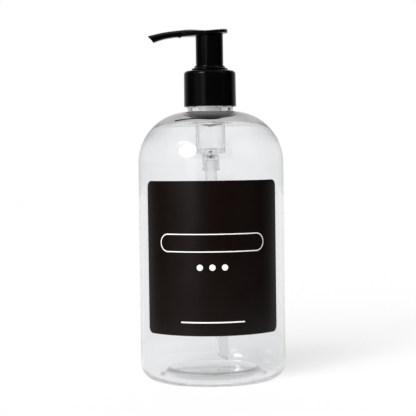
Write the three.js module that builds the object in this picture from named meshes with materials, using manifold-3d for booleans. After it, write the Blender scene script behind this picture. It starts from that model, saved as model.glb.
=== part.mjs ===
// Soap dispenser bottle: a clear blown bottle with a label, closed by a screw-on pump.
// Millimetres, +Z up. The origin is the centre of the standing ring on the floor.
// The label faces -Y and the nozzle points along -X.
import * as THREE from 'three';
import { mergeVertices } from 'three/addons/utils/BufferGeometryUtils.js';
import Module from 'manifold-3d';

const wasm = await Module();
wasm.setup();

// Clearances
const seatGap = 0.3;          // along the axis, between pieces that rest on each other
const fitGap = 0.25;          // round pieces that push into each other
const slideGap = 0.25;        // round pieces that slide in each other

// Bottle
const bottleRadius = 37.4;
const bottleWall = 0.8;
const heelRadius = 8;
const ringWidth = 1.4;        // flat ring that the bottle stands on
const baseThickness = 1.3;
const pushUpHeight = 4.6;
const pushUpSlope = 5;        // how far the push-up wall leans in
const domeRise = 1.2;
const shoulderStart = 111.2;
const shoulderRadius = 26.4;
const neckRootRadius = 12.05; // plain band under the closure
const neckRootHeight = 2;
const finishHeight = 16.4;    // shoulder to lip
const finishWall = 1.5;
const neckFillet = 1.8;
const shoulderTopWall = 3.3;  // the blown wall thickens up the shoulder to this at the neck
const thickeningStart = 42;   // degrees up the shoulder's arc

// Label
const labelSide = 76.2;
const labelCorner = 3.2;
const labelBottom = 26.4;
const labelThickness = 0.15;
const labelGap = 0.1;

// Closure
const closureHeight = 18.5;
const closureWall = 0.9;
const closureTop = 1.2;
const closureCorner = 2;
const closureDraft = 0.12;    // how much narrower the top is than the foot
const closureCrown = 0.2;

// Collar
const collarWall = 0.85;
const collarDepth = 15.8;
const collarFloor = 1.2;
const collarLift = 0.4;       // daylight between closure and flange
const flangeRadius = 9.35;
const flangeLip = 0.7;
const flareHeight = 1.3;
const flareWidth = 0.5;       // wall left at the top of the flare

// Gasket
const gasketThickness = 1;
const gasketRadius = 11.4;

// Housing
const cupWall = 0.6;
const cupFlangeRadius = 11.6;
const cupFlangeThickness = 1.3;
const stepThickness = 1.2;
const chamberRadius = 6.35;
const chamberWall = 1.2;
const chamberFloor = 1.9;
const pistonRunout = 2.2;     // room left under the piston at the end of its stroke
const cageRadius = 2.7;
const cageDepth = 4.7;
const cageLip = 0.6;
const cageMouth = 1.95;
const inletRadius = 1.6;
const inletWall = 1;
const tailWall = 0.95;
const tailLength = 5.6;

// Moving parts of the pump
const stroke = 12.5;
const pistonSlip = 1;         // lost motion that opens the outlet
const pistonLength = 7.35;
const pistonSleeveWall = 0.9;
const pistonWaist = 4.9;
const pistonLipWall = 0.65;
const pistonLipReach = 2.2;
const stemRadius = 2.75;
const stemBore = 1.75;
const stemFlangeRadius = 4.2;
const stemFlangeThickness = 1;
const portWidth = 1.4;
const portHeight = 1.6;
const plugRadius = 3.7;
const plugThickness = 1;
const plugSpigotLength = 4.3;
const plugRib = 0.8;
const pinRadius = 1.5;
const pinLength = 1.45;
const pinPoint = 0.7;
const ballRadius = 2.2;
const ballGap = 0.1;
const wireRadius = 0.45;
const springTurns = 10;

// Dip tube
const tubeRadius = 3.2;
const tubeBore = 2.3;
const tubeLean = 5.6;         // sideways lean of the free end
const tubeEnd = 8.6;          // height of the free end over the floor

// Actuator
const sleeveRadius = 7.05;
const sleeveWall = 0.95;
const sleeveRunout = 1;
const headRise = 15.3;        // bare sleeve over the collar
const socketWall = 0.95;
const socketLength = 9;
const roofThickness = 1.2;
const ductRadius = 1.9;
const padRadius = 9.4;
const padCrown = 0.9;
const nozzleReach = 31.4;
const nozzleHalfWidth = 3.1;
const nozzleTipHalfWidth = 2.7;
const nozzleBevel = 1.3;
const nozzleBlend = 15;       // length over which the pad narrows to the nozzle
const tipSlant = 2.8;         // how far the tip leans back under its top edge
const channelHalfWidth = 1.7;
const channelHalfHeight = 0.8;

// Facets
const bottleSides = 44;
const closureSides = 40;
const pumpSides = 32;
const stemSides = 20;
const wireSides = 6;
const tubeSides = 12;

// Radii that follow from what slides or pushes into what, from the sleeve outwards
const collarBore = sleeveRadius + slideGap;
const collarRadius = collarBore + collarWall;
const cupBore = collarRadius + fitGap;
const cupRadius = cupBore + cupWall;
const neckBore = cupRadius + fitGap;
const finishRadius = neckBore + finishWall;
const closureBore = neckRootRadius + slideGap;
const closureRadius = closureBore + closureWall;
const pistonRadius = chamberRadius - slideGap;
const pistonBore = stemRadius + slideGap;
const socketBore = stemRadius + fitGap;
const sleeveBore = sleeveRadius - sleeveWall;
const tailBore = tubeRadius + fitGap;

// Heights that follow from what rests on what, from the shoulder upwards
const shoulderTop = shoulderStart + shoulderRadius;
const finishTop = shoulderTop + finishHeight;
const gasketBottom = finishTop + seatGap;
const cupFlangeBottom = gasketBottom + gasketThickness + seatGap;
const cupTop = cupFlangeBottom + cupFlangeThickness;
const closureUnderside = cupTop + seatGap;
const closureTopHeight = closureUnderside + closureTop;
const closureBottom = closureTopHeight - closureHeight;
const flangeBottom = closureTopHeight + collarLift;
const collarTop = flangeBottom + flangeLip + flareHeight;
const collarBottom = flangeBottom - collarDepth;
const springSeat = collarBottom + collarFloor;
const cupFloor = collarBottom - seatGap;

// Heights that hang from the collar downwards
const stemFlangeTop = collarBottom - seatGap;
const stemFlangeBottom = stemFlangeTop - stemFlangeThickness;
const pistonTop = stemFlangeBottom - seatGap - pistonSlip;
const pistonBottom = pistonTop - pistonLength;
const plugTop = pistonBottom - seatGap;
const stemBottom = plugTop + seatGap;
const pinTip = plugTop - plugThickness - pinLength;
const chamberBottom = pistonBottom - stroke - pistonRunout;
const ballSeat = chamberBottom - cageDepth;
const tubeStop = ballSeat - inletWall;
const tailBottom = tubeStop - tailLength;

// Heights of the head
const sleeveBottom = springSeat + stroke + sleeveRunout;
const padSeat = collarTop + headRise;
const roofBottom = padSeat - roofThickness;
const stemTop = roofBottom - seatGap;

const point = (x, y) => new THREE.Vector2(x, y);

// Points of an elliptical arc about (cx, cy), from one angle to another in degrees, both ends included.
function arc(cx, cy, rx, ry, from, to, steps) {
  const points = [];
  for (let i = 0; i <= steps; i += 1) {
    const angle = THREE.MathUtils.degToRad(from + ((to - from) * i) / steps);
    points.push(point(cx + rx * Math.cos(angle), cy + ry * Math.sin(angle)));
  }
  return points;
}

// A profile of (radius, height) points turned about the Z axis.
function revolve(profile, sides) {
  const geometry = new THREE.LatheGeometry(profile, sides);
  geometry.rotateX(Math.PI / 2);
  return geometry;
}

// The same for a profile that doesn't touch the axis: it closes on itself.
function revolveRing(profile, sides) {
  return revolve([...profile, profile[0].clone()], sides);
}

// A skin over equal loops of points, one after another, with a flat fan over each end.
function loft(loops) {
  const count = loops[0].length;
  const vertices = loops.flat().flatMap((p) => [p.x, p.y, p.z]);
  const triangles = [];
  for (let i = 0; i + 1 < loops.length; i += 1) {
    for (let j = 0; j < count; j += 1) {
      const a = i * count + j;
      const b = i * count + ((j + 1) % count);
      triangles.push(a, b, a + count, b, b + count, a + count);
    }
  }
  const last = (loops.length - 1) * count;
  [[0, true], [last, false]].forEach(([first, isStart]) => {
    const centre = vertices.length / 3;
    const middle = new THREE.Vector3();
    loops[first / count].forEach((p) => middle.add(p));
    middle.divideScalar(count);
    vertices.push(middle.x, middle.y, middle.z);
    for (let j = 0; j < count; j += 1) {
      const a = first + j;
      const b = first + ((j + 1) % count);
      triangles.push(...(isStart ? [centre, b, a] : [centre, a, b]));
    }
  });
  const geometry = new THREE.BufferGeometry();
  geometry.setAttribute('position', new THREE.Float32BufferAttribute(vertices, 3));
  geometry.setIndex(triangles);
  geometry.computeVertexNormals();
  return geometry;
}

function toSolid(geometry) {
  const bare = geometry.clone();
  bare.deleteAttribute('normal');
  bare.deleteAttribute('uv');
  const merged = mergeVertices(bare, 1e-4);
  const mesh = new wasm.Mesh({
    numProp: 3,
    vertProperties: new Float32Array(merged.attributes.position.array),
    triVerts: new Uint32Array(merged.index.array),
  });
  return new wasm.Manifold(mesh);
}

function toGeometry(solid) {
  const mesh = solid.getMesh();
  const geometry = new THREE.BufferGeometry();
  geometry.setAttribute('position', new THREE.BufferAttribute(mesh.vertProperties, 3));
  geometry.setIndex(new THREE.BufferAttribute(mesh.triVerts, 1));
  geometry.computeVertexNormals();
  return geometry;
}

// Height at x on a smooth line through (x, height) points. The slope at a point comes from its neighbours.
function heightOn(line, x) {
  const slope = (i) => {
    const before = line[Math.max(i - 1, 0)];
    const after = line[Math.min(i + 1, line.length - 1)];
    return (after.y - before.y) / (after.x - before.x);
  };
  let i = 0;
  while (i + 2 < line.length && x > line[i + 1].x) i += 1;
  const span = line[i + 1].x - line[i].x;
  const t = THREE.MathUtils.clamp((x - line[i].x) / span, 0, 1);
  const start = (1 + 2 * t) * (1 - t) ** 2 * line[i].y + t * (1 - t) ** 2 * span * slope(i);
  const end = t * t * (3 - 2 * t) * line[i + 1].y + t * t * (t - 1) * span * slope(i + 1);
  return start + end;
}

// Underside of the base: a cosine slope up from the standing ring, and a shallow dome inside it.
function pushUp(radius) {
  const ringInner = bottleRadius - heelRadius - ringWidth;
  const slope = THREE.MathUtils.clamp((ringInner - radius) / pushUpSlope, 0, 1);
  const dome = Math.max(0, 1 - (radius / (ringInner - pushUpSlope)) ** 2);
  return (pushUpHeight * (1 - Math.cos(Math.PI * slope))) / 2 + domeRise * dome;
}

// Inside of the shoulder at an angle up its arc: the wall is even, then thickens smoothly toward the neck.
function shoulderInside(degrees) {
  const share = THREE.MathUtils.smoothstep(degrees, thickeningStart, 90);
  const reach = shoulderRadius - bottleWall - (shoulderTopWall - bottleWall) * share;
  const centre = bottleRadius - shoulderRadius;
  const angle = THREE.MathUtils.degToRad(degrees);
  return point(centre + reach * Math.cos(angle), shoulderStart + reach * Math.sin(angle));
}

function bottleGeometry() {
  const ringOuter = bottleRadius - heelRadius;
  const ringInner = ringOuter - ringWidth;
  const shoulderCentre = bottleRadius - shoulderRadius;
  const rootAngle = THREE.MathUtils.radToDeg(Math.acos((neckRootRadius - shoulderCentre) / shoulderRadius));
  const filletCentre = neckBore + neckFillet;
  const innerTop = shoulderRadius - shoulderTopWall;
  const filletAngle = THREE.MathUtils.radToDeg(Math.acos((filletCentre - shoulderCentre) / innerTop));
  const filletFoot = shoulderInside(filletAngle).y;
  const insideSteps = 9;
  const insideEnd = filletAngle - 8; // a short way off the fillet, so their corner is shallow
  const inside = [];
  for (let i = insideSteps; i >= 0; i -= 1) inside.push(shoulderInside((insideEnd * i) / insideSteps));
  const slopeSteps = 4;
  const slopeRadii = [];
  for (let i = 0; i <= slopeSteps; i += 1) slopeRadii.push(ringInner - (pushUpSlope * i) / slopeSteps);
  const baseRadii = [...slopeRadii, slopeRadii[slopeSteps] / 2, 0];
  const underside = baseRadii.map((r) => point(r, pushUp(r))).reverse();
  const floor = baseRadii.map((r) => point(r, pushUp(r) + baseThickness));
  return revolve([
    ...underside,
    ...arc(ringOuter, heelRadius, heelRadius, heelRadius, -90, 0, 5),
    ...arc(shoulderCentre, shoulderStart, shoulderRadius, shoulderRadius, 0, rootAngle, 9),
    point(neckRootRadius - 0.1, shoulderTop + neckRootHeight - 0.3),
    point(neckRootRadius - 0.4, shoulderTop + neckRootHeight),
    point(finishRadius, shoulderTop + neckRootHeight + 0.4),
    point(finishRadius, finishTop - 0.5),
    point(finishRadius - 0.4, finishTop),
    point(neckBore, finishTop),
    ...arc(filletCentre, filletFoot + neckFillet, neckFillet, neckFillet, 180, 270, 3),
    ...inside,
    ...arc(ringOuter, heelRadius, heelRadius - bottleWall, heelRadius - baseThickness, 0, -90, 4),
    ...floor,
  ], bottleSides);
}

// A thin sheet bent round the bottle: columns round the front, shortened at the corners by a quarter circle.
function labelGeometry() {
  const innerRadius = bottleRadius + labelGap;
  const outerRadius = innerRadius + labelThickness;
  const half = labelSide / 2;
  const middle = labelBottom + half;
  const cornerSteps = 4;
  const flatSteps = 20;
  const columns = [];
  for (let i = 0; i <= cornerSteps; i += 1) {
    const angle = (Math.PI / 2) * (i / cornerSteps);
    const along = half - labelCorner * (1 - Math.sin(angle));
    const reach = half - labelCorner * (1 - Math.cos(angle));
    columns.push([along, reach]);
  }
  const left = columns.map(([along, reach]) => [-along, reach]).reverse();
  const flatHalf = half - labelCorner;
  const flats = [];
  for (let i = 1; i < flatSteps; i += 1) flats.push([flatHalf * ((2 * i) / flatSteps - 1), half]);
  return loft([...left, ...flats, ...columns].map(([along, reach]) => {
    const angle = along / outerRadius - Math.PI / 2;
    const corner = (radius, z) => new THREE.Vector3(radius * Math.cos(angle), radius * Math.sin(angle), z);
    return [
      corner(innerRadius, middle - reach),
      corner(innerRadius, middle + reach),
      corner(outerRadius, middle + reach),
      corner(outerRadius, middle - reach),
    ];
  }));
}

function closureGeometry() {
  const topRadius = closureRadius - closureDraft;
  const holeRadius = collarRadius + fitGap;
  const cornerTop = closureTopHeight - closureCrown;
  return revolveRing([
    point(closureBore + 0.3, closureBottom),
    point(closureRadius - 0.2, closureBottom),
    point(closureRadius, closureBottom + 0.3),
    ...arc(topRadius - closureCorner, cornerTop - closureCorner, closureCorner, closureCorner, 0, 90, 5),
    point(holeRadius, closureTopHeight),
    point(holeRadius, closureUnderside),
    point(closureBore, closureUnderside),
    point(closureBore, closureBottom + 0.4),
  ], closureSides);
}

function collarGeometry() {
  const stemHole = stemRadius + slideGap;
  const flareTop = collarBore + flareWidth;
  const flareFoot = flangeBottom + flangeLip;
  return revolveRing([
    point(stemHole, collarBottom),
    point(collarRadius - 0.4, collarBottom),
    point(collarRadius, collarBottom + 0.6),
    point(collarRadius, flangeBottom),
    point(flangeRadius - 0.2, flangeBottom),
    point(flangeRadius, flangeBottom + 0.2),
    point(flangeRadius, flareFoot - 0.2),
    ...arc(flangeRadius - 0.1, collarTop, flangeRadius - 0.1 - flareTop, flareHeight, 270, 180, 4),
    point(collarBore + 0.1, collarTop),
    point(collarBore, collarTop - 0.2),
    point(collarBore, springSeat),
    point(stemHole, springSeat),
  ], pumpSides);
}

function gasketGeometry() {
  const hole = cupRadius + slideGap;
  return revolveRing([
    point(hole, gasketBottom),
    point(gasketRadius, gasketBottom),
    point(gasketRadius, gasketBottom + gasketThickness),
    point(hole, gasketBottom + gasketThickness),
  ], pumpSides);
}

// The cylinder of the pump: flanged cup for the collar, chamber, ball cage and tail with the tube's socket.
function housingGeometry() {
  const chamberOuter = chamberRadius + chamberWall;
  const tailRadius = tailBore + tailWall;
  const shellFoot = chamberBottom - chamberFloor;
  const ledge = cupFloor - stepThickness;
  return revolveRing([
    point(tailBore + 0.2, tailBottom),
    point(tailRadius - 0.2, tailBottom),
    point(tailRadius, tailBottom + 0.4),
    point(tailRadius, shellFoot - 1.6),
    point(tailRadius + 0.6, shellFoot - 0.3),
    point(chamberOuter - 0.8, shellFoot),
    point(chamberOuter, shellFoot + 0.8),
    point(chamberOuter, ledge - 0.4),
    point(cupRadius, ledge + 0.6),
    point(cupRadius, cupFlangeBottom),
    point(cupFlangeRadius, cupFlangeBottom),
    point(cupFlangeRadius, cupTop),
    point(cupBore, cupTop),
    point(cupBore, cupFloor),
    point(chamberRadius, cupFloor),
    point(chamberRadius, chamberBottom + 0.6),
    point(chamberRadius - 0.6, chamberBottom),
    point(cageRadius + 0.7, chamberBottom),
    point(cageRadius + 0.3, chamberBottom + cageLip),
    point(cageMouth, chamberBottom + cageLip),
    point(cageRadius, chamberBottom),
    point(cageRadius, ballSeat + 1),
    point(inletRadius, ballSeat),
    point(inletRadius, tubeStop),
    point(tailBore, tubeStop),
    point(tailBore, tailBottom + 0.3),
  ], pumpSides);
}

// The tube leaves its socket straight down, then leans until its end stands over the base.
function dipTubeGeometry() {
  const top = tubeStop - seatGap;
  const straight = tailBottom - 2;
  const path = new THREE.CurvePath();
  const socket = new THREE.Vector3(0, 0, top);
  const leaving = new THREE.Vector3(0, 0, straight);
  path.add(new THREE.LineCurve3(socket, leaving));
  path.add(new THREE.CubicBezierCurve3(
    leaving,
    new THREE.Vector3(0, 0, straight - 22),
    new THREE.Vector3(tubeLean - 1.6, 0, tubeEnd + 34),
    new THREE.Vector3(tubeLean, 0, tubeEnd),
  ));
  const section = new THREE.Shape().absarc(0, 0, tubeRadius, 0, 2 * Math.PI, false);
  section.holes.push(new THREE.Path().absarc(0, 0, tubeBore, 0, 2 * Math.PI, true));
  return new THREE.ExtrudeGeometry(section, {
    steps: 14,
    curveSegments: tubeSides / 2,
    extrudePath: path,
    bevelEnabled: false,
  });
}

// Two lips that face away from each other round a sleeve that slides on the stem.
function pistonGeometry() {
  const sleeve = pistonBore + pistonSleeveWall;
  const lipInner = pistonRadius - pistonLipWall;
  const middle = (pistonBottom + pistonTop) / 2 - 0.6;
  const upperLip = middle + pistonLipReach + 1.2;
  return revolveRing([
    point(pistonBore, pistonBottom),
    point(sleeve, pistonBottom),
    point(sleeve, pistonBottom + 1.6),
    point(lipInner, pistonBottom),
    point(pistonRadius, pistonBottom),
    point(pistonRadius, pistonBottom + 0.8),
    point(pistonWaist, pistonBottom + pistonLipReach + 0.6),
    point(pistonWaist, middle + 0.4),
    point(pistonRadius, upperLip - 0.8),
    point(pistonRadius, upperLip),
    point(lipInner, upperLip),
    point(sleeve, upperLip - 1.6),
    point(sleeve, pistonTop),
    point(pistonBore, pistonTop),
  ], pumpSides);
}

// Hollow rod, with a flange that stops under the collar and two ports just above the piston's seat.
function stemGeometry() {
  const rod = toSolid(revolveRing([
    point(stemBore, stemBottom),
    point(stemRadius - 0.2, stemBottom),
    point(stemRadius, stemBottom + 0.2),
    point(stemRadius, stemFlangeBottom),
    point(stemFlangeRadius, stemFlangeBottom),
    point(stemFlangeRadius, stemFlangeTop),
    point(stemRadius, stemFlangeTop),
    point(stemRadius, stemTop - 0.3),
    point(stemRadius - 0.3, stemTop),
    point(stemBore, stemTop),
  ], stemSides));
  const window = new THREE.BoxGeometry(portWidth, 3 * stemRadius, portHeight);
  window.translate(0, 0, stemBottom + 0.8 + portHeight / 2);
  return toGeometry(rod.subtract(toSolid(window)));
}

// Valve disc with a pointed pin below and a cross-ribbed spigot that pushes into the stem.
function stemPlugGeometry() {
  const discBottom = plugTop - plugThickness;
  const disc = toSolid(revolve([
    point(0, pinTip),
    point(pinRadius - pinPoint, pinTip),
    point(pinRadius, pinTip + pinPoint),
    point(pinRadius, discBottom),
    point(plugRadius - 0.5, discBottom),
    point(plugRadius, discBottom + 0.5),
    point(plugRadius - 0.2, plugTop),
    point(0, plugTop),
  ], stemSides));
  const ribSpan = 2 * (stemBore - fitGap - 0.05);
  const ribHeight = plugSpigotLength + plugThickness / 2;
  const ribs = [[ribSpan, plugRib], [plugRib, ribSpan]].map(([width, depth]) => {
    const rib = new THREE.BoxGeometry(width, depth, ribHeight);
    rib.translate(0, 0, plugTop + plugSpigotLength - ribHeight / 2);
    return toSolid(rib);
  });
  return toGeometry(disc.add(ribs[0]).add(ribs[1]));
}

function ballGeometry() {
  const geometry = new THREE.SphereGeometry(ballRadius, 14, 10);
  geometry.translate(0, 0, ballSeat + Math.sqrt((ballRadius + ballGap) ** 2 - inletRadius ** 2));
  return geometry;
}

// A coil whose first and last turns lie nearly flat on their seats.
class CoilCurve extends THREE.Curve {
  getPoint(t) {
    const socketRadius = socketBore + socketWall;
    const radius = (socketRadius + sleeveBore) / 2;
    const low = springSeat + wireRadius + seatGap;
    const high = roofBottom - wireRadius - seatGap;
    const endTurns = 1 / springTurns;
    const closed = 2 * wireRadius + 0.1;
    const body = THREE.MathUtils.clamp((t - endTurns) / (1 - 2 * endTurns), 0, 1);
    const first = closed * Math.min(t / endTurns, 1);
    const last = closed * Math.max((t - 1 + endTurns) / endTurns, 0);
    const angle = 2 * Math.PI * springTurns * t;
    const height = low + first + last + (high - low - 2 * closed) * body;
    return new THREE.Vector3(radius * Math.cos(angle), radius * Math.sin(angle), height);
  }
}

function springGeometry() {
  const wire = new THREE.Shape().absarc(0, 0, wireRadius, 0, 2 * Math.PI, false);
  return new THREE.ExtrudeGeometry(wire, {
    steps: springTurns * 11,
    curveSegments: wireSides / 2,
    extrudePath: new CoilCurve(),
    bevelEnabled: false,
  });
}

// Side view of the head: the ridge over pad and nozzle, and the underside, as heights over the pad's seat.
const ridgeLine = [
  point(-nozzleReach, 0.5),
  point(-23.2, 2.05),
  point(-13.9, 3.08),
  point(-8.8, 3.33),
  point(-1.6, 2.87),
  point(4.6, 3.43),
  point(padRadius - 1.4, 3.72),
  point(padRadius, 3.45),
];
const undersideLine = [
  point(-nozzleReach, -3.1),
  point(-21.2, -0.85),
  point(-11.9, 0),
  point(-sleeveRadius, 0.1),
  point(padRadius, 1.5),
];

// Plan of the head: a round pad that narrows to the nozzle along an S curve.
function headHalfWidth(x) {
  if (x > 0) return Math.sqrt(Math.max(padRadius ** 2 - x ** 2, 0));
  const blend = THREE.MathUtils.smoothstep(-x, 0, nozzleBlend);
  const taper = THREE.MathUtils.clamp((-x - nozzleBlend) / (nozzleReach - nozzleBlend), 0, 1);
  const nozzle = THREE.MathUtils.lerp(nozzleHalfWidth, nozzleTipHalfWidth, taper);
  return THREE.MathUtils.lerp(padRadius, nozzle, blend);
}

// One section of the head at x: crowned top, upright sides, rounded underside. The tip's sections lean back.
function headSection(x) {
  const half = headHalfWidth(x);
  const ridge = padSeat + heightOn(ridgeLine, x);
  const keel = padSeat + heightOn(undersideLine, x);
  const toTip = THREE.MathUtils.clamp((-x - nozzleBlend) / (nozzleReach - nozzleBlend), 0, 1);
  const drop = THREE.MathUtils.lerp(padCrown, nozzleBevel, THREE.MathUtils.smoothstep(-x, 0, nozzleBlend));
  const sideTop = ridge - Math.min(drop, drop * (half / nozzleTipHalfWidth));
  const corner = Math.min(0.8, half / 3);
  const crownSteps = 8;
  const loop = [];
  for (let i = 0; i <= crownSteps; i += 1) {
    const across = 1 - (2 * i) / crownSteps;
    loop.push([across * half, sideTop + (ridge - sideTop) * (1 - across ** 2)]);
  }
  loop.push([-half, keel + corner], [-half + corner * 0.3, keel + corner * 0.3], [-half + corner, keel]);
  loop.push([half - corner, keel], [half - corner * 0.3, keel + corner * 0.3], [half, keel + corner]);
  const slant = (tipSlant * toTip ** 3) / (ridge - keel);
  return loop.map(([y, z]) => new THREE.Vector3(x + slant * (ridge - z), y, z));
}

function headGeometry() {
  const nozzleSteps = 12;
  const padSteps = 8;
  const stations = [];
  for (let i = 0; i < nozzleSteps; i += 1) stations.push(-nozzleReach + (nozzleReach * i) / nozzleSteps);
  for (let i = 0; i <= padSteps; i += 1) {
    stations.push(padRadius * Math.sin(((Math.PI / 2) * 0.96 * i) / padSteps));
  }
  return loft(stations.map(headSection));
}

// Outer sleeve, roof and the inner socket that the stem pushes into.
function sleeveGeometry() {
  const socketRadius = socketBore + socketWall;
  return revolveRing([
    point(sleeveBore, sleeveBottom),
    point(sleeveRadius - 0.2, sleeveBottom),
    point(sleeveRadius, sleeveBottom + 0.3),
    point(sleeveRadius, padSeat + 1.5),
    point(ductRadius, padSeat + 1.5),
    point(ductRadius, roofBottom),
    point(socketBore, roofBottom),
    point(socketBore, roofBottom - socketLength + 0.3),
    point(socketBore + 0.3, roofBottom - socketLength),
    point(socketRadius, roofBottom - socketLength),
    point(socketRadius, roofBottom),
    point(sleeveBore, roofBottom),
  ], pumpSides);
}

// Flow path of the head: up from the stem, then along the nozzle and out of its tip.
function ductGeometry() {
  const channelAt = (x) => padSeat + (heightOn(ridgeLine, x) + heightOn(undersideLine, x)) / 2 - 0.1;
  const route = [0.6 * ductRadius, -5, -11, -18, -25, -nozzleReach - 2].map((x) => [x, channelAt(x)]);
  const sides = 10;
  const loops = route.reverse().map(([x, z]) => Array.from({ length: sides }, (_, j) => {
    const angle = (2 * Math.PI * j) / sides;
    return new THREE.Vector3(x, channelHalfWidth * Math.cos(angle), z + channelHalfHeight * Math.sin(angle));
  }));
  const riserTop = channelAt(0) + channelHalfHeight / 2;
  const riser = revolve([
    point(0, roofBottom - 0.5),
    point(ductRadius, roofBottom - 0.5),
    point(ductRadius, riserTop),
    point(0, riserTop),
  ], 20);
  return toSolid(loft(loops)).add(toSolid(riser));
}

function actuatorGeometry() {
  const body = toSolid(headGeometry()).add(toSolid(sleeveGeometry()));
  return toGeometry(body.subtract(ductGeometry()));
}

function finish(color, roughness, extra = {}) {
  return new THREE.MeshStandardMaterial({ color, roughness, metalness: 0, ...extra });
}

const blackGloss = () => finish(0x0b0b0c, 0.28);
const clearPlastic = () => finish(0xeef2f3, 0.06, { transparent: true, opacity: 0.3 });
const milkyPlastic = () => finish(0xdfe1df, 0.4, { transparent: true, opacity: 0.7 });

function piece(name, geometry, material) {
  const mesh = new THREE.Mesh(geometry, material);
  mesh.name = name;
  return mesh;
}

const container = new THREE.Group();
container.add(
  piece('bottle', bottleGeometry(), clearPlastic()),
  piece('label', labelGeometry(), finish(0x1b1715, 0.55)),
);

const pumpBody = new THREE.Group();
pumpBody.add(
  piece('gasket', gasketGeometry(), finish(0xf2f2ef, 0.8)),
  piece('housing', housingGeometry(), milkyPlastic()),
  piece('collar', collarGeometry(), blackGloss()),
  piece('closure', closureGeometry(), blackGloss()),
  piece('dip_tube', dipTubeGeometry(), milkyPlastic()),
  piece('inlet_ball', ballGeometry(), finish(0xc4c6c8, 0.15, { metalness: 1 })),
);

const pumpHead = new THREE.Group();
pumpHead.add(
  piece('actuator', actuatorGeometry(), blackGloss()),
  piece('stem', stemGeometry(), finish(0xe6e6e2, 0.4)),
  piece('stem_plug', stemPlugGeometry(), finish(0x9a9c9c, 0.4)),
  piece('piston', pistonGeometry(), finish(0xf0f1ee, 0.5)),
  piece('spring', springGeometry(), finish(0xb9bcbf, 0.25, { metalness: 1 })),
);

const dispenser = new THREE.Group();
dispenser.add(container, pumpBody, pumpHead);

export default dispenser;
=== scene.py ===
"""Looks of a soap dispenser bottle: a clear blown bottle with a dark label and a black lotion pump.

Everything is in metres, +Z up, with the origin at the centre of the standing ring. The label faces
-Y and the nozzle points along -X. Round pieces are profiles turned about the Z axis.
"""

import logging
import math
from dataclasses import dataclass, field
from enum import Enum
from typing import Callable, NamedTuple, Sequence

import bpy
import numpy as np
from mathutils import Matrix, Vector

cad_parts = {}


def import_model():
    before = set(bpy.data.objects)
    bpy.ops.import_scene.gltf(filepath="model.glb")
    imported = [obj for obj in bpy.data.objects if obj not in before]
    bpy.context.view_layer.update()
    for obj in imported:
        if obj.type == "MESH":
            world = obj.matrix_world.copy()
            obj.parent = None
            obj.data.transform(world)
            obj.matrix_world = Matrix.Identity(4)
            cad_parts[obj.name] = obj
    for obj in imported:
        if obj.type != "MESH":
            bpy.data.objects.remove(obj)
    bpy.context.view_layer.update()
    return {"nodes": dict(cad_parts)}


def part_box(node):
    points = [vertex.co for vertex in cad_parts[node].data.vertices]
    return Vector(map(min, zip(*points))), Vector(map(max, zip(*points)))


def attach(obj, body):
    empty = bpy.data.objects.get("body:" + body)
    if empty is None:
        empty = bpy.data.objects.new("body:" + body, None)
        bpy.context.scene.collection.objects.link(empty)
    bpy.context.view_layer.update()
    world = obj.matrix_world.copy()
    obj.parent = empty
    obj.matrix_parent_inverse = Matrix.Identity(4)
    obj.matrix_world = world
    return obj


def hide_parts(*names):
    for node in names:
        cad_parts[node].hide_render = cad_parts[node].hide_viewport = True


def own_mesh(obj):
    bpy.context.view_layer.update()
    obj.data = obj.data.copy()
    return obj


LOG = logging.getLogger("dispenser")
MM = 0.001
Corner = tuple[float, float, float]
Knots = Sequence[tuple[float, float]]
Relief = Callable[[np.ndarray, np.ndarray, np.ndarray], np.ndarray]
Ramp = tuple[float, float]
Colour = tuple[float, float, float]
LONGEST_SHARE = 0.49
FLAT_CORNER = math.radians(89.5)


class Body(str, Enum):
    """Bodies of the moving parts."""

    BOTTLE = "bottle"
    GASKET = "gasket"
    PUMP = "pump"
    CLOSURE = "closure"
    SPRING = "spring"
    HEAD = "head"
    PISTON = "piston"


class Slot(str, Enum):
    """Material slots of the record."""

    CLEAR = "clear_bottle"
    LABEL = "label_film"
    BLACK = "black_plastic"
    GASKET = "gasket_foam"
    NATURAL = "natural_plastic"
    TUBE = "tube_plastic"
    PISTON = "piston_plastic"
    STEM = "stem_plastic"
    STEEL = "steel"


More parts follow.
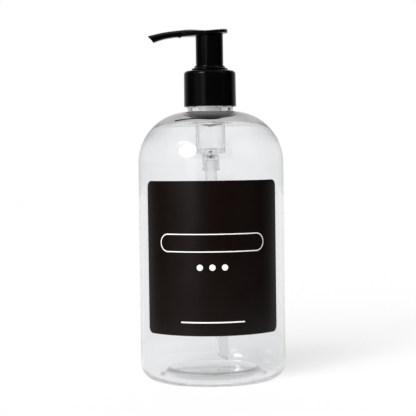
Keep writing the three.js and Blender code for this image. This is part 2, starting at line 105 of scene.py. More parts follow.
class Socket:
    """A shader output that takes part in sums: each operator adds a Math node."""

    def __init__(self, shader: "Shader", output: bpy.types.NodeSocket) -> None:
        """Keeps the shader that the output belongs to."""
        self.shader = shader
        self.output = output

    def math(self, operation: str, *others: "Socket | float") -> "Socket":
        """Applies one Math operation.

        Args:
            operation: the Math node's operation.
            others: its second and third operands.

        Returns:
            The node's result.
        """
        values = dict(enumerate((self, *others)))
        return self.shader.node("ShaderNodeMath", {"operation": operation}, values)

    def __add__(self, other: "Socket | float") -> "Socket":
        """Sum."""
        return self.math("ADD", other)

    __radd__ = __add__

    def __mul__(self, other: "Socket | float") -> "Socket":
        """Product."""
        return self.math("MULTIPLY", other)

    __rmul__ = __mul__

    def __sub__(self, other: "Socket | float") -> "Socket":
        """Difference."""
        return self.math("SUBTRACT", other)

    def __rsub__(self, other: float) -> "Socket":
        """Reflected difference, for 1 - mask."""
        return self.math("MULTIPLY", -1.0) + other

    def __abs__(self) -> "Socket":
        """Absolute value."""
        return self.math("ABSOLUTE")

    def at_least(self, other: "Socket | float") -> "Socket":
        """The larger of the two."""
        return self.math("MAXIMUM", other)

    def at_most(self, other: "Socket | float") -> "Socket":
        """The smaller of the two."""
        return self.math("MINIMUM", other)

    def along(self, way: Sequence[float]) -> "Socket":
        """Dot product of a vector output with a fixed direction."""
        values = {0: self, 1: way}
        return self.shader.node("ShaderNodeVectorMath", {"operation": "DOT_PRODUCT"}, values, "Value")

    def ramp(self, low: float, high: float, soft: bool = True) -> "Socket":
        """Step from 0 at low to 1 at high, level outside them.

        Args:
            low: where the step is 0.
            high: where the step is 1; it may be under low.
            soft: whether it eases in and out, or rises evenly.

        Returns:
            The stepped value.
        """
        settings = {"interpolation_type": "SMOOTHSTEP" if soft else "LINEAR"}
        return self.shader.node("ShaderNodeMapRange", settings, {0: self, 1: low, 2: high})


class Shader:
    """A node tree that a finish is written into."""

    def __init__(self, tree: bpy.types.NodeTree) -> None:
        """Empties the tree."""
        self.tree = tree
        tree.nodes.clear()

    def node(self, kind: str, settings: dict | None = None, inputs: dict | None = None,
             out: int | str = 0) -> Socket:
        """Adds a node.

        Args:
            kind: the node's type.
            settings: properties, set before the inputs.
            inputs: values or sockets, by input name or number.
            out: the output that is returned.

        Returns:
            The chosen output, or the first.
        """
        made = self.tree.nodes.new(kind)
        for name, value in (settings or {}).items():
            setattr(made, name, value)
        for name, value in (inputs or {}).items():
            if isinstance(value, Socket):
                self.tree.links.new(value.output, made.inputs[name])
            else:
                made.inputs[name].default_value = value
        return Socket(self, made.outputs[out] if len(made.outputs) else None)

    def position(self) -> Socket:
        """Object coordinates."""
        return self.node("ShaderNodeTexCoord", out="Object")

    def noise(self, scale: float, detail: float = 3.0, stretch: Sequence[float] = (1, 1, 1)) -> Socket:
        """Noise of the piece's own coordinates.

        Args:
            scale: waves per metre.
            detail: octaves.
            stretch: scale along each axis.

        Returns:
            The noise, around one half.
        """
        place = self.node("ShaderNodeMapping", None, {"Vector": self.position(), "Scale": stretch})
        return self.node("ShaderNodeTexNoise", None, {"Vector": place, "Scale": scale, "Detail": detail})

    def bump(self, height: Socket, distance: float, strength: float = 1.0) -> Socket:
        """Bump node.

        Args:
            height: the height, from 0 to 1.
            distance: what 1 stands for, in metres.
            strength: share of the effect.

        Returns:
            The normal.
        """
        values = {"Height": height, "Distance": distance, "Strength": strength}
        return self.node("ShaderNodeBump", None, values)

    def mix_colour(self, factor: Socket | float, low: Socket | Sequence[float],
                   high: Sequence[float]) -> Socket:
        """Mixes two colours.

        Args:
            factor: share of the second colour.
            low: colour at 0.
            high: colour at 1.

        Returns:
            The mixed colour.
        """
        start = low if isinstance(low, Socket) else (*low, 1)
        values = {0: factor, 6: start, 7: (*high, 1)}
        return self.node("ShaderNodeMix", {"data_type": "RGBA"}, values, out=2)

    def surface(self, shader: Socket) -> None:
        """Links a shader to the output."""
        is_world = "ShaderNodeBackground" in {node.bl_idname for node in self.tree.nodes}
        self.node(f"ShaderNodeOutput{'World' if is_world else 'Material'}", None, {"Surface": shader})


def new_material(name: str) -> tuple[bpy.types.Material, Shader]:
    """Makes an empty node material.

    Args:
        name: the material's name.

    Returns:
        The material and its shader.
    """
    material = bpy.data.materials.new(name)
    material.use_nodes = True
    return material, Shader(material.node_tree)


@dataclass(frozen=True)
class Moulded:
    """An opaque moulded plastic with a faint orange-peel and uneven gloss."""

    name: str
    colour: Colour
    roughness: float = 0.3
    ripple: float = 0.02 * MM
    gloss_spread: float = 0.08
    specular: float = 0.5

    def build(self) -> bpy.types.Material:
        """Builds the material.

        Returns:
            The material.
        """
        material, shader = new_material(self.name)
        peel = shader.noise(900, 2)
        wear = shader.noise(140, 4)
        rough = wear * self.gloss_spread + (self.roughness - self.gloss_spread / 2)
        tint = shader.mix_colour(wear, self.colour, tuple(c * 1.25 for c in self.colour))
        shader.surface(shader.node("ShaderNodeBsdfPrincipled", None, {
            "Base Color": tint,
            "Roughness": rough,
            "Specular IOR Level": self.specular,
            "Normal": shader.bump(peel, self.ripple),
        }))
        return material


@dataclass(frozen=True)
class Clear:
    """A plastic that light passes through; lamps reach what is behind it.

    Each ramp runs from where it is 0 to where it is 1, in millimetres over the floor or from the axis.
    What is reflected inside the shoulder or the foot gets out there by the two shares of escape, and the
    thick root of the neck is cloudy by its share. The middle of the base is greyed by painted shade.
    """

    name: str
    colour: Colour
    roughness: float
    ior: float
    ripple: float
    ripple_scale: tuple[float, float, float] = (1, 1, 1)
    passes: float = 0.9
    transmission: float = 1.0
    shoulder_escape: float = 0.0
    shoulder: Ramp = (118.0, 126.0)
    foot_escape: float = 0.0
    foot: Ramp = (12.0, 8.0)
    cloudy: float = 0.0
    root: Ramp = (133.4, 136.9)
    cloud_colour: Colour = (0.95, 0.96, 0.95)
    # Painted shade: the share and the grey colour of the shade painted into the middle of the base, with
    # where it lies.
    base_painted_shade: float = 0.0
    base_radius: Ramp = (26.0, 23.0)
    base_height: Ramp = (9.0, 7.5)
    base_shade_colour: Colour = (0.42, 0.43, 0.39)

    def build(self) -> bpy.types.Material:
        """Builds the material.

        Returns:
            The material.
        """
        material, shader = new_material(self.name)
        waves = shader.noise(60, 2, self.ripple_scale)
        cloud = shader.noise(220, 3)
        place = shader.position()
        x, y, height = (place.along(axis) for axis in ((1 / MM, 0, 0), (0, 1 / MM, 0), (0, 0, 1 / MM)))
        radius = (x * x + y * y).math("SQRT")
        # Painted shade: the thick middle of the base is greyed, standing in for the shade under the foot.
        base = radius.ramp(*self.base_radius) * height.ramp(*self.base_height) * self.base_painted_shade
        body = shader.node("ShaderNodeBsdfPrincipled", None, {
            "Base Color": shader.mix_colour(base, self.colour, self.base_shade_colour),
            "Roughness": cloud * (self.roughness * 0.5) + self.roughness * 0.75,
            "IOR": self.ior,
            "Transmission Weight": self.transmission,
            "Normal": shader.bump(waves, self.ripple),
        })
        through = shader.node("ShaderNodeBsdfTransparent", None, {"Color": (self.passes,) * 3 + (1,)})
        is_shadow = shader.node("ShaderNodeLightPath", out="Is Shadow Ray")
        reflected = shader.node("ShaderNodeLightPath", out="Is Reflection Ray")
        escape = height.ramp(*self.shoulder) * self.shoulder_escape
        escape = escape + height.ramp(*self.foot) * self.foot_escape
        if self.cloudy:
            share = height.ramp(*self.root) * self.cloudy
            haze = shader.node("ShaderNodeBsdfDiffuse", None, {"Color": (*self.cloud_colour, 1)})
            body = shader.node("ShaderNodeMixShader", None, {0: share, 1: body, 2: haze})
        straight = is_shadow.at_least(reflected * escape)
        shader.surface(shader.node("ShaderNodeMixShader", None, {0: straight, 1: body, 2: through}))
        return material


@dataclass(frozen=True)
class Milky:
    """A natural plastic too thick to see through, that glows with what lights it from behind."""

    name: str
    colour: Colour
    roughness: float = 0.4
    share: float = 0.6
    ripple: float = 0.02 * MM

    def build(self) -> bpy.types.Material:
        """Builds the material.

        Returns:
            The material.
        """
        material, shader = new_material(self.name)
        cloud = shader.noise(160, 3)
        tint = shader.mix_colour(cloud, tuple(c * 0.94 for c in self.colour), self.colour)
        face = shader.node("ShaderNodeBsdfPrincipled", None, {
            "Base Color": tint,
            "Roughness": cloud * 0.1 + (self.roughness - 0.05),
            "Normal": shader.bump(shader.noise(700, 2), self.ripple),
        })
        glow = shader.node("ShaderNodeBsdfTranslucent", None, {"Color": tint})
        shader.surface(shader.node("ShaderNodeMixShader", None, {0: self.share, 1: face, 2: glow}))
        return material


@dataclass(frozen=True)
class Steel:
    """Bright drawn wire or a polished ball."""

    name: str
    colour: Colour = (0.62, 0.63, 0.64)
    roughness: float = 0.2

    def build(self) -> bpy.types.Material:
        """Builds the material.

        Returns:
            The material.
        """
        material, shader = new_material(self.name)
        drawn = shader.noise(1800, 2)
        shader.surface(shader.node("ShaderNodeBsdfPrincipled", None, {
            "Base Color": shader.mix_colour(drawn, tuple(c * 0.85 for c in self.colour), self.colour),
            "Metallic": 1.0,
            "Roughness": drawn * 0.15 + self.roughness,
        }))
        return material


@dataclass(frozen=True)
class PrintedFilm:
    """Near-black satin film printed with plain pale shapes: a long empty field, a row of dots and a rule.

    The label's own coordinates are millimetres from its middle: across, then up.
    """

    name: str = "label_film"
    ink: Colour = (0.002, 0.0009, 0.0006)
    print_colour: Colour = (0.45, 0.445, 0.435)
    roughness: float = 0.3
    specular: float = 0.27
    field_middle: float = 7.6
    field_half: tuple[float, float] = (27.6, 4.3)
    field_line: float = 0.5
    dots_middle: float = -4.4
    dot_radius: float = 1.5
    dot_pitch: float = 6.2
    rule_middle: float = -31.4
    rule_half: tuple[float, float] = (16.2, 0.32)
    edge: float = 0.06

    def capsule(self, across: Socket, up: Socket, half: tuple[float, float]) -> Socket:
        """Distance to a lying capsule, negative inside: the distance to its core line less its radius."""
        past = (abs(across) - (half[0] - half[1])).at_least(0.0)
        return (past * past + up * up).math("SQRT") - half[1]

    def build(self) -> bpy.types.Material:
        """Builds the material.

        Returns:
            The material.
        """
        material, shader = new_material(self.name)
        place = shader.node("ShaderNodeUVMap", {"uv_map": "print"})
        across, up = (shader.node("ShaderNodeSeparateXYZ", None, {0: place}, out=i) for i in (0, 1))
        outline = abs(self.capsule(across, up - self.field_middle, self.field_half)) - self.field_line / 2
        from_dot = across.math("PINGPONG", self.dot_pitch / 2)
        over_dot = up - self.dots_middle
        dots = (from_dot * from_dot + over_dot * over_dot).math("SQRT") - self.dot_radius
        dots = dots.at_least(abs(across) - 1.5 * self.dot_pitch)
        rule = self.capsule(across, up - self.rule_middle, self.rule_half)
        mask = outline.at_most(dots).at_most(rule).ramp(self.edge, -self.edge)
        grain = shader.noise(2600, 2)
        cloud = shader.noise(70, 3)
        ink = shader.mix_colour(cloud, self.ink, tuple(c * 1.3 for c in self.ink))
        blend = shader.mix_colour(mask, ink, self.print_colour)
        shader.surface(shader.node("ShaderNodeBsdfPrincipled", None, {
            "Base Color": blend,
            "Roughness": cloud * 0.1 + grain * 0.06 + (self.roughness - 0.08),
            "Specular IOR Level": self.specular,
            "Normal": shader.bump(grain, 0.004 * MM),
        }))
        return material


def rounded(corners: Sequence[Corner], closed: bool = False, steps: int = 6) -> np.ndarray:
    """Outline through corners, each rounded by an arc that touches both its sides.

    The arc's centre lies on the corner's bisector, at its radius over the sine of the half angle. An arc
    takes less than half of its shorter side, and a corner that is nearly straight stays a point.

    Args:
        corners: (radius, height, rounding) of each corner, in millimetres.
        closed: whether the last corner joins the first.
        steps: points less one on each arc.

    Returns:
        The outline's points, one (radius, height) a row, in millimetres.
    """
    points: list[np.ndarray] = []
    count = len(corners)
    for i, (x, y, rounding) in enumerate(corners):
        here = np.array((x, y), float)
        if rounding <= 0 or (not closed and i in (0, count - 1)):
            points.append(here[None])
            continue
        before = np.array(corners[i - 1][:2]) - here
        after = np.array(corners[(i + 1) % count][:2]) - here
        lengths = np.linalg.norm(before), np.linalg.norm(after)
        to_before, to_after = before / lengths[0], after / lengths[1]
        half = math.acos(np.clip(to_before @ to_after, -1, 1)) / 2
        if half > FLAT_CORNER:
            points.append(here[None])
            continue
        radius = min(rounding, LONGEST_SHARE * min(lengths) * math.tan(half))
        bisector = (to_before + to_after) / np.linalg.norm(to_before + to_after)
        centre = here + bisector * radius / math.sin(half)
        first = here + to_before * radius / math.tan(half) - centre
        last = here + to_after * radius / math.tan(half) - centre
        start = math.atan2(first[1], first[0])
        turn = (math.atan2(last[1], last[0]) - start + math.pi) % (2 * math.pi) - math.pi
        angles = start + turn * np.linspace(0, 1, steps + 1)
        points.append(centre + radius * np.stack((np.cos(angles), np.sin(angles)), 1))
    return np.concatenate(points)


def oval(centre: tuple[float, float], half: Sequence[float | np.ndarray], angle: np.ndarray) -> np.ndarray:
    """Points of an oval: its centre plus a half width times the cosine, a half height times the sine.

    Args:
        centre: its centre.
        half: half its width and half its height, one number each or one for each angle.
        angle: angles, in degrees.

    Returns:
        One point a row.
    """
    turn = np.radians(angle)
    return np.stack((centre[0] + half[0] * np.cos(turn), centre[1] + half[1] * np.sin(turn)), 1)


def arc(centre: tuple[float, float], radius: float, start: float, end: float, steps: int) -> np.ndarray:
    """Points of a circular arc.

    Args:
        centre: its centre.
        radius: its radius.
        start: first angle, in degrees.
        end: last angle, in degrees.
        steps: points less one.

    Returns:
        One point a row.
    """
    return oval(centre, (radius, radius), np.linspace(start, end, steps + 1))


def directions(line: np.ndarray) -> np.ndarray:
    """Unit tangents of a line that is given by one point a row."""
    step = np.gradient(line, axis=0)
    return step / np.linalg.norm(step, axis=1)[:, None]


def finer(outline: np.ndarray, longest: float) -> np.ndarray:
    """Adds evenly spaced points on the sides of an outline.

    Args:
        outline: one point a row.
        longest: longest side that stays, in the outline's unit.

    Returns:
        The outline with its points and the new ones.
    """
    lengths = np.linalg.norm(np.diff(outline, axis=0), axis=1)
    counts = np.maximum(np.ceil(lengths / longest).astype(int), 1)
    along = np.concatenate(([0], np.cumsum(lengths)))
    spots = np.concatenate([np.linspace(a, b, n, endpoint=False)
                            for a, b, n in zip(along[:-1], along[1:], counts)] + [along[-1:]])
    return np.stack([np.interp(spots, along, outline[:, k]) for k in (0, 1)], 1)


def grid_faces(rows: int, columns: int, rows_wrap: bool = False, columns_wrap: bool = True) -> np.ndarray:
    """Four-sided faces of a grid of vertices, numbered row by row.

    Args:
        rows: vertices along the profile.
        columns: vertices round it.
        rows_wrap: whether the last row joins the first.
        columns_wrap: whether the last column joins the first.

    Returns:
        Four vertex numbers a face, pointing outwards where rows cross columns clockwise.
    """
    i = np.arange(rows if rows_wrap else rows - 1)[:, None]
    j = np.arange(columns if columns_wrap else columns - 1)[None]
    next_i, next_j = (i + 1) % rows, (j + 1) % columns
    corners = [i * columns + j, i * columns + next_j, next_i * columns + next_j, next_i * columns + j]
    return np.stack(np.broadcast_arrays(*corners), -1).reshape(-1, 4)


def pole_faces(rows: int, columns: int) -> list[np.ndarray]:
    """Triangles that close a grid's first and last row with a pole each, numbered after the grid.

    Args:
        rows: vertices along the profile.
        columns: vertices round it.

    Returns:
        The two fans.
    """
    here = np.arange(columns)
    after = (here + 1) % columns
    last, pole = (rows - 1) * columns, np.full(columns, rows * columns)
    return [np.stack((pole, after, here), 1), np.stack((pole + 1, last + here, last + after), 1)]


def show(name: str, data: bpy.types.ID) -> bpy.types.Object:
    """Puts a mesh, a camera or a lamp into the scene, at the origin.

    Args:
        name: the object's name.
        data: its mesh, camera or lamp.

    Returns:
        The object.
    """
    thing = bpy.data.objects.new(name, data)
    bpy.context.scene.collection.objects.link(thing)
    return thing


def show_smooth(name: str, mesh: bpy.types.Mesh, sharp: float) -> bpy.types.Object:
    """Shades a mesh smooth, but for edges that turn by more than sharp degrees, and shows it.

    Args:
        name: the piece's name.
        mesh: its mesh.
        sharp: edges that turn by more than this, in degrees, stay sharp.

    Returns:
        The piece.
    """
    mesh.polygons.foreach_set("use_smooth", np.ones(len(mesh.polygons), bool))
    mesh.set_sharp_from_angle(angle=math.radians(sharp))
    return show(name, mesh)


def make_piece(name: str, vertices: np.ndarray, faces: Sequence[np.ndarray],
               sharp: float = 50.0) -> bpy.types.Object:
    """Makes a smooth-shaded mesh object at the origin.

    Args:
        name: the piece's name.
        vertices: one point a row, in metres.
        faces: arrays of faces with equal sides each.
        sharp: edges that turn by more than this, in degrees, stay sharp.

    Returns:
        The object, linked to the scene.
    """
    mesh = bpy.data.meshes.new(name)
    mesh.from_pydata(vertices.tolist(), [], [row for block in faces for row in block.tolist()])
    mesh.validate()
    return show_smooth(name, mesh, sharp)


def read(items: bpy.types.bpy_prop_collection, name: str, width: int, kind: type = float) -> np.ndarray:
    """Reads a value of every item of a mesh.

    Args:
        items: the mesh's loops or faces.
        name: the value's name.
        width: numbers in one value.
        kind: the numbers' type.

    Returns:
        One value a row.
    """
    values = np.zeros(len(items) * width, kind)
    items.foreach_get(name, values)
    return values.reshape(-1, width)


def revolve(name: str, outline: np.ndarray, sides: int = 128, closed: bool = True,
            relief: Relief | None = None, sharp: float = 50.0) -> bpy.types.Object:
    """Turns an outline about the Z axis: x = r cos a, y = r sin a, z = height.

    Args:
        name: the piece's name.
        outline: (radius, height) points in millimetres, anticlockwise with the axis at the left.
        sides: points round the axis.
        closed: True for a ring; False where both ends lie on the axis.
        relief: what is added to the radius, from angle, radius and height.
        sharp: edges that turn by more than this, in degrees, stay sharp.

    Returns:
        The piece.
    """
    inner = outline if closed else outline[1:-1]
    angle = np.linspace(0, 2 * np.pi, sides, endpoint=False)[None]
    radius, height = inner[:, :1] + 0 * angle, inner[:, 1:] + 0 * angle
    if relief is not None:
        radius = radius + relief(angle + 0 * radius, radius, height)
    grid = np.stack((radius * np.cos(angle), radius * np.sin(angle), height), -1).reshape(-1, 3)
    faces = [grid_faces(len(inner), sides, rows_wrap=closed)]
    if not closed:
        faces += pole_faces(len(inner), sides)
        grid = np.concatenate((grid, [[0, 0, outline[0, 1]], [0, 0, outline[-1, 1]]]))
    return make_piece(name, grid * MM, faces, sharp)


def smooth(value: np.ndarray) -> np.ndarray:
    """Smooth step of a value that is cut to 0 and 1."""
    cut = np.clip(value, 0, 1)
    return cut * cut * (3 - 2 * cut)


def hermite(x: np.ndarray, knots: Knots) -> np.ndarray:
    """Smooth line through knots: cubic pieces whose slope at a knot comes from its neighbours.

    Args:
        x: where the line is read.
        knots: (x, height) points, in order of x.

    Returns:
        The height at each x.
    """
    kx, ky = np.array(knots).T
    index = np.arange(len(kx))
    before, after = np.maximum(index - 1, 0), np.minimum(index + 1, len(kx) - 1)
    slope = (ky[after] - ky[before]) / (kx[after] - kx[before])
    i = np.clip(np.searchsorted(kx, x, side="right") - 1, 0, len(kx) - 2)
    span = kx[i + 1] - kx[i]
    t = np.clip((x - kx[i]) / span, 0, 1)
    start = (1 + 2 * t) * (1 - t) ** 2 * ky[i] + t * (1 - t) ** 2 * span * slope[i]
    return start + t * t * (3 - 2 * t) * ky[i + 1] + t * t * (t - 1) * span * slope[i + 1]


@dataclass(frozen=True)
class Thread:
    """A right-hand helical ridge on a round wall, in millimetres."""

    start: float
    turns: float
    pitch: float = 3.175
    width: float = 2.1
    height: float = 1.1
    flank: float = 0.35
    run_out: float = 0.12

    def relief(self, angle: np.ndarray, height: np.ndarray) -> np.ndarray:
        """Height of the ridge by angle and height.

        The distance from the nearest turn gives its flank and the place along the turns its run-out.

        Args:
            angle: angle round the axis, in radians.
            height: height, in millimetres.

        Returns:
            What the ridge adds to the wall.
        """
        round_share = angle / (2 * np.pi)
        turn = (height - self.start) / self.pitch - round_share
        nearest = np.round(turn)
        along = nearest + round_share
        flank = smooth((self.width / 2 - np.abs(turn - nearest) * self.pitch) / (self.flank * self.width))
        ends = smooth(along / self.run_out) * smooth((self.turns - along) / self.run_out)
        return self.height * flank * ends


def dress(piece: bpy.types.Object, material: bpy.types.Material, body: Body, slot: Slot,
          *nodes: str) -> bpy.types.Object:
    """Gives a piece its material and its body, and hides the nodes that it stands for.

    Args:
        piece: the piece.
        material: its finish.
        body: the body that it rides on.
        slot: the record's material slot; not used.
        nodes: the solids that it replaces.

    Returns:
        The piece.
    """
    if not piece.data.materials:
        piece.data.materials.append(material)
    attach(piece, body.value)
    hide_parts(*nodes)
    LOG.info("%s: %d faces on %s", piece.name, len(piece.data.polygons), body.value)
    return piece


def span(node: str) -> tuple[float, float, float]:
    """Radius, lowest and highest point of a round node, in millimetres."""
    low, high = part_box(node)
    return high.x / MM, low.z / MM, high.z / MM


def box(name: str, size: Sequence[float], middle: Sequence[float]) -> bpy.types.Object:
    """Makes a box of that size round its middle, in millimetres.

    Args:
        name: the piece's name.
        size: its sides, in millimetres.
        middle: its middle, in millimetres.

    Returns:
        The piece.
    """
    corners = np.stack(np.meshgrid([-0.5, 0.5], [-0.5, 0.5], [-0.5, 0.5], indexing="ij"), -1).reshape(-1, 3)
    sides = np.array([[0, 1, 3, 2], [4, 6, 7, 5], [0, 4, 5, 1], [2, 3, 7, 6], [0, 2, 6, 4], [1, 5, 7, 3]])
    return make_piece(name, (corners * size + middle) * MM, [sides])


def combine(name: str, first: bpy.types.Object, second: bpy.types.Object,
            operation: str) -> bpy.types.Object:
    """Joins two closed pieces into one, or cuts one with the other.

    Args:
        name: the new piece's name.
        first: the piece that is kept.
        second: the piece that is added or taken away.
        operation: UNION or DIFFERENCE.

    Returns:
        The new piece; the two old ones are removed.
    """
    change = first.modifiers.new("change", "BOOLEAN")
    change.operation, change.solver, change.object = operation, "EXACT", second
    bpy.context.view_layer.update()
    mesh = bpy.data.meshes.new_from_object(first.evaluated_get(bpy.context.evaluated_depsgraph_get()))
    for part in (first, second):
        bpy.data.objects.remove(part)
    mesh.name = name
    mesh.materials.clear()
    return show_smooth(name, mesh, 38)


@dataclass
class Container:
    """The blown bottle and its label. Sizes in millimetres."""

    wall: float = 0.8
    heel: float = 8.0
    ring: float = 1.4
    base: float = 1.3
    push_up: float = 4.6
    push_up_slope: float = 6.0
    dome: float = 1.2
    gate_radius: float = 1.6
    gate_height: float = 0.5
    gate_edge: float = 0.5
    shoulder_start: float = 111.2
    shoulder: float = 26.4
    shoulder_end: float = 89.3
    root_radius: float = 12.05
    root_height: float = 2.0
    draft: float = 0.05
    finish_radius: float = 10.75
    bore: float = 9.25
    fillet: float = 1.8
    top_wall: float = 3.3
    thick_from: float = 42.0
    thread_drop: float = 11.2
    thread_turns: float = 1.6
    label_corner: float = 3.2
    label_gap: float = 0.1
    label_thickness: float = 0.15
    # The grey in the middle of the base is painted shade, standing in for the shade under the foot.
    clear: Clear = Clear("clear_blown", (0.936, 0.942, 0.95), 0.012, 1.54, 0.012 * MM, (1, 1, 0.25), 0.965,
                         shoulder_escape=1.0, foot_escape=0.15, cloudy=0.075, base_painted_shade=0.3)
    radius: float = field(init=False)
    top: float = field(init=False)

    def __post_init__(self) -> None:
        """Reads the bottle's radius and top from the frame."""
        self.radius, _, self.top = span("bottle")

    def gate(self, radius: np.ndarray) -> np.ndarray:
        """Depth of the gate's nub under the middle of the base."""
        return self.gate_height * smooth((self.gate_radius - radius) / self.gate_edge)

    def underside(self, radius: np.ndarray) -> np.ndarray:
        """Height of the underside: a cosine slope up from the ring and a dome, less the gate's nub.

        Args:
            radius: distances from the axis.

        Returns:
            The height at each.
        """
        inner = self.radius - self.heel - self.ring
        slope = np.clip((inner - radius) / self.push_up_slope, 0, 1)
        dome = np.clip(1 - (radius / (inner - self.push_up_slope)) ** 2, 0, 1)
        return self.push_up * (1 - np.cos(np.pi * slope)) / 2 + self.dome * dome - self.gate(radius)

    def shoulder_wall(self, angle: np.ndarray) -> np.ndarray:
        """Wall of the shoulder by its arc angle in degrees: even, then thicker toward the neck."""
        share = smooth((angle - self.thick_from) / (90 - self.thick_from))
        return self.wall + (self.top_wall - self.wall) * share

    def foot(self) -> tuple[np.ndarray, np.ndarray]:
        """Outlines of the foot.

        Returns:
            The underside from the axis outwards, and the inside from the wall down and in to the axis.
        """
        outer = self.radius - self.heel
        radii = np.linspace(0, outer - self.ring, 60)
        underside = np.stack((radii, self.underside(radii)), 1)
        radii = radii[::-1]
        floor = np.stack((radii, self.underside(radii) + self.gate(radii) + self.base), 1)
        inner = self.heel - self.wall, self.heel - self.base
        heel = oval((outer, self.heel), inner, np.linspace(0, -90, 17))
        return underside, np.concatenate((heel, floor[1:]))

    def neck(self, root: float, band: float, foot: float) -> np.ndarray:
        """Outline of the neck from its root up the outside, over the lip and down the bore.

        Args:
            root: height where it leaves the shoulder.
            band: height where the plain band ends and the finish begins.
            foot: height where the bore ends; that point is left out.

        Returns:
            The outline's points.
        """
        corners = [
            (self.root_radius, root, 0), (self.root_radius - self.draft, band - 0.2, 0.3),
            (self.root_radius - 0.5, band + 0.1, 0.3), (self.finish_radius, band + 0.5, 0.4),
            (self.finish_radius, self.top, 0.5), (self.bore, self.top, 0.3), (self.bore, foot, 0),
        ]
        return finer(rounded(corners)[:-1], 0.3)

    def bottle(self) -> bpy.types.Object:
        """Builds the bottle: base, heel, straight wall, round shoulder and threaded finish.

        Returns:
            The piece.
        """
        centre = self.radius - self.shoulder, self.shoulder_start
        shoulder_top = self.shoulder_start + self.shoulder
        band = shoulder_top + self.root_height
        root_angle = math.degrees(math.acos((self.root_radius - centre[0]) / self.shoulder))
        root = centre[1] + self.shoulder * math.sin(math.radians(root_angle))
        angles = np.linspace(self.shoulder_end, 0, 72)
        reach = self.shoulder - self.shoulder_wall(angles)
        inner_shoulder = oval(centre, (reach, reach), angles)
        fillet_centre = self.bore + self.fillet, inner_shoulder[0, 1] + self.fillet
        underside, inside = self.foot()
        outline = np.concatenate((
            underside,
            arc((self.radius - self.heel, self.heel), self.heel, -90, 0, 20),
            arc(centre, self.shoulder, 0, root_angle, 48)[:-1],
            self.neck(root, band, shoulder_top - 1),
            arc(fillet_centre, self.fillet, 180, 270, 10),
            inner_shoulder,
            inside,
        ))
        thread = Thread(start=self.top - self.thread_drop, turns=self.thread_turns)

        def relief(angle: np.ndarray, radius: np.ndarray, height: np.ndarray) -> np.ndarray:
            """Adds the thread to the finish's outer wall alone."""
            on_finish = (np.abs(radius - self.finish_radius) < 0.01) & (height > band)
            return thread.relief(angle, height) * on_finish

        piece = revolve("bottle_shell", outline, 160, False, relief)
        return dress(piece, self.clear.build(), Body.BOTTLE, Slot.CLEAR, "bottle")

    def flat_label(self, half: float) -> tuple[np.ndarray, np.ndarray]:
        """Flat square with round corners, in upright columns that are shorter at both ends.

        Args:
            half: half of the square's side.

        Returns:
            How far across and how far up each vertex lies, one column a row.
        """
        straight = half - self.label_corner
        turn = np.linspace(0, np.pi / 2, 13)
        end = straight + self.label_corner * np.sin(turn)
        end_reach = straight + self.label_corner * np.cos(turn)
        middle = np.linspace(-straight, straight, 121)[1:-1]
        along = np.concatenate((-end[::-1], middle, end))
        reach = np.concatenate((end_reach[::-1], np.full(len(middle), half), end_reach))
        up = reach[:, None] * np.linspace(-1, 1, 33)[None]
        return along[:, None] + 0 * up, up

    def label(self) -> bpy.types.Object:
        """Builds the label: a thin sheet bent round the bottle, printed on its outer face.

        Returns:
            The piece.
        """
        low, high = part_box("label")
        across, up = self.flat_label((high.z - low.z) / MM / 2)
        middle = (high.z + low.z) / MM / 2
        inner = self.radius + self.label_gap
        outer = inner + self.label_thickness
        angle = across / outer - np.pi / 2

        def bent(radius: float) -> np.ndarray:
            """Bends the flat label to a radius."""
            return np.stack((radius * np.cos(angle), radius * np.sin(angle), middle + up), -1)

        rows, columns = up.shape
        count = 2 * columns
        loops = np.concatenate((bent(outer), bent(inner)[:, ::-1]), 1)
        k = np.arange(columns - 1)
        cap = np.stack((k, k + 1, count - 2 - k, count - 1 - k), 1)
        faces = [grid_faces(rows, count)[:, ::-1], cap, ((rows - 1) * count + cap)[:, ::-1]]
        piece = make_piece("label_sheet", loops.reshape(-1, 3) * MM, faces, 40)
        mesh = piece.data
        place = np.stack([np.concatenate((side, side[:, ::-1]), 1) for side in (across, up)], -1)
        vertex = read(mesh.loops, "vertex_index", 1, np.int32)[:, 0]
        uv = place.reshape(-1, 2)[vertex].astype(np.float32).ravel()
        mesh.uv_layers.new(name="print").data.foreach_set("uv", uv)
        normals, centres = (read(mesh.polygons, name, 3)[:, :2] for name in ("normal", "center"))
        outward = (normals * centres).sum(1) / np.linalg.norm(centres, axis=1)
        mesh.materials.append(PrintedFilm().build())
        mesh.materials.append(Moulded("label_edge", (0.6, 0.59, 0.57), 0.7).build())
        mesh.polygons.foreach_set("material_index", (outward < 0.5).astype(np.int32))
        return dress(piece, mesh.materials[0], Body.BOTTLE, Slot.LABEL, "label")


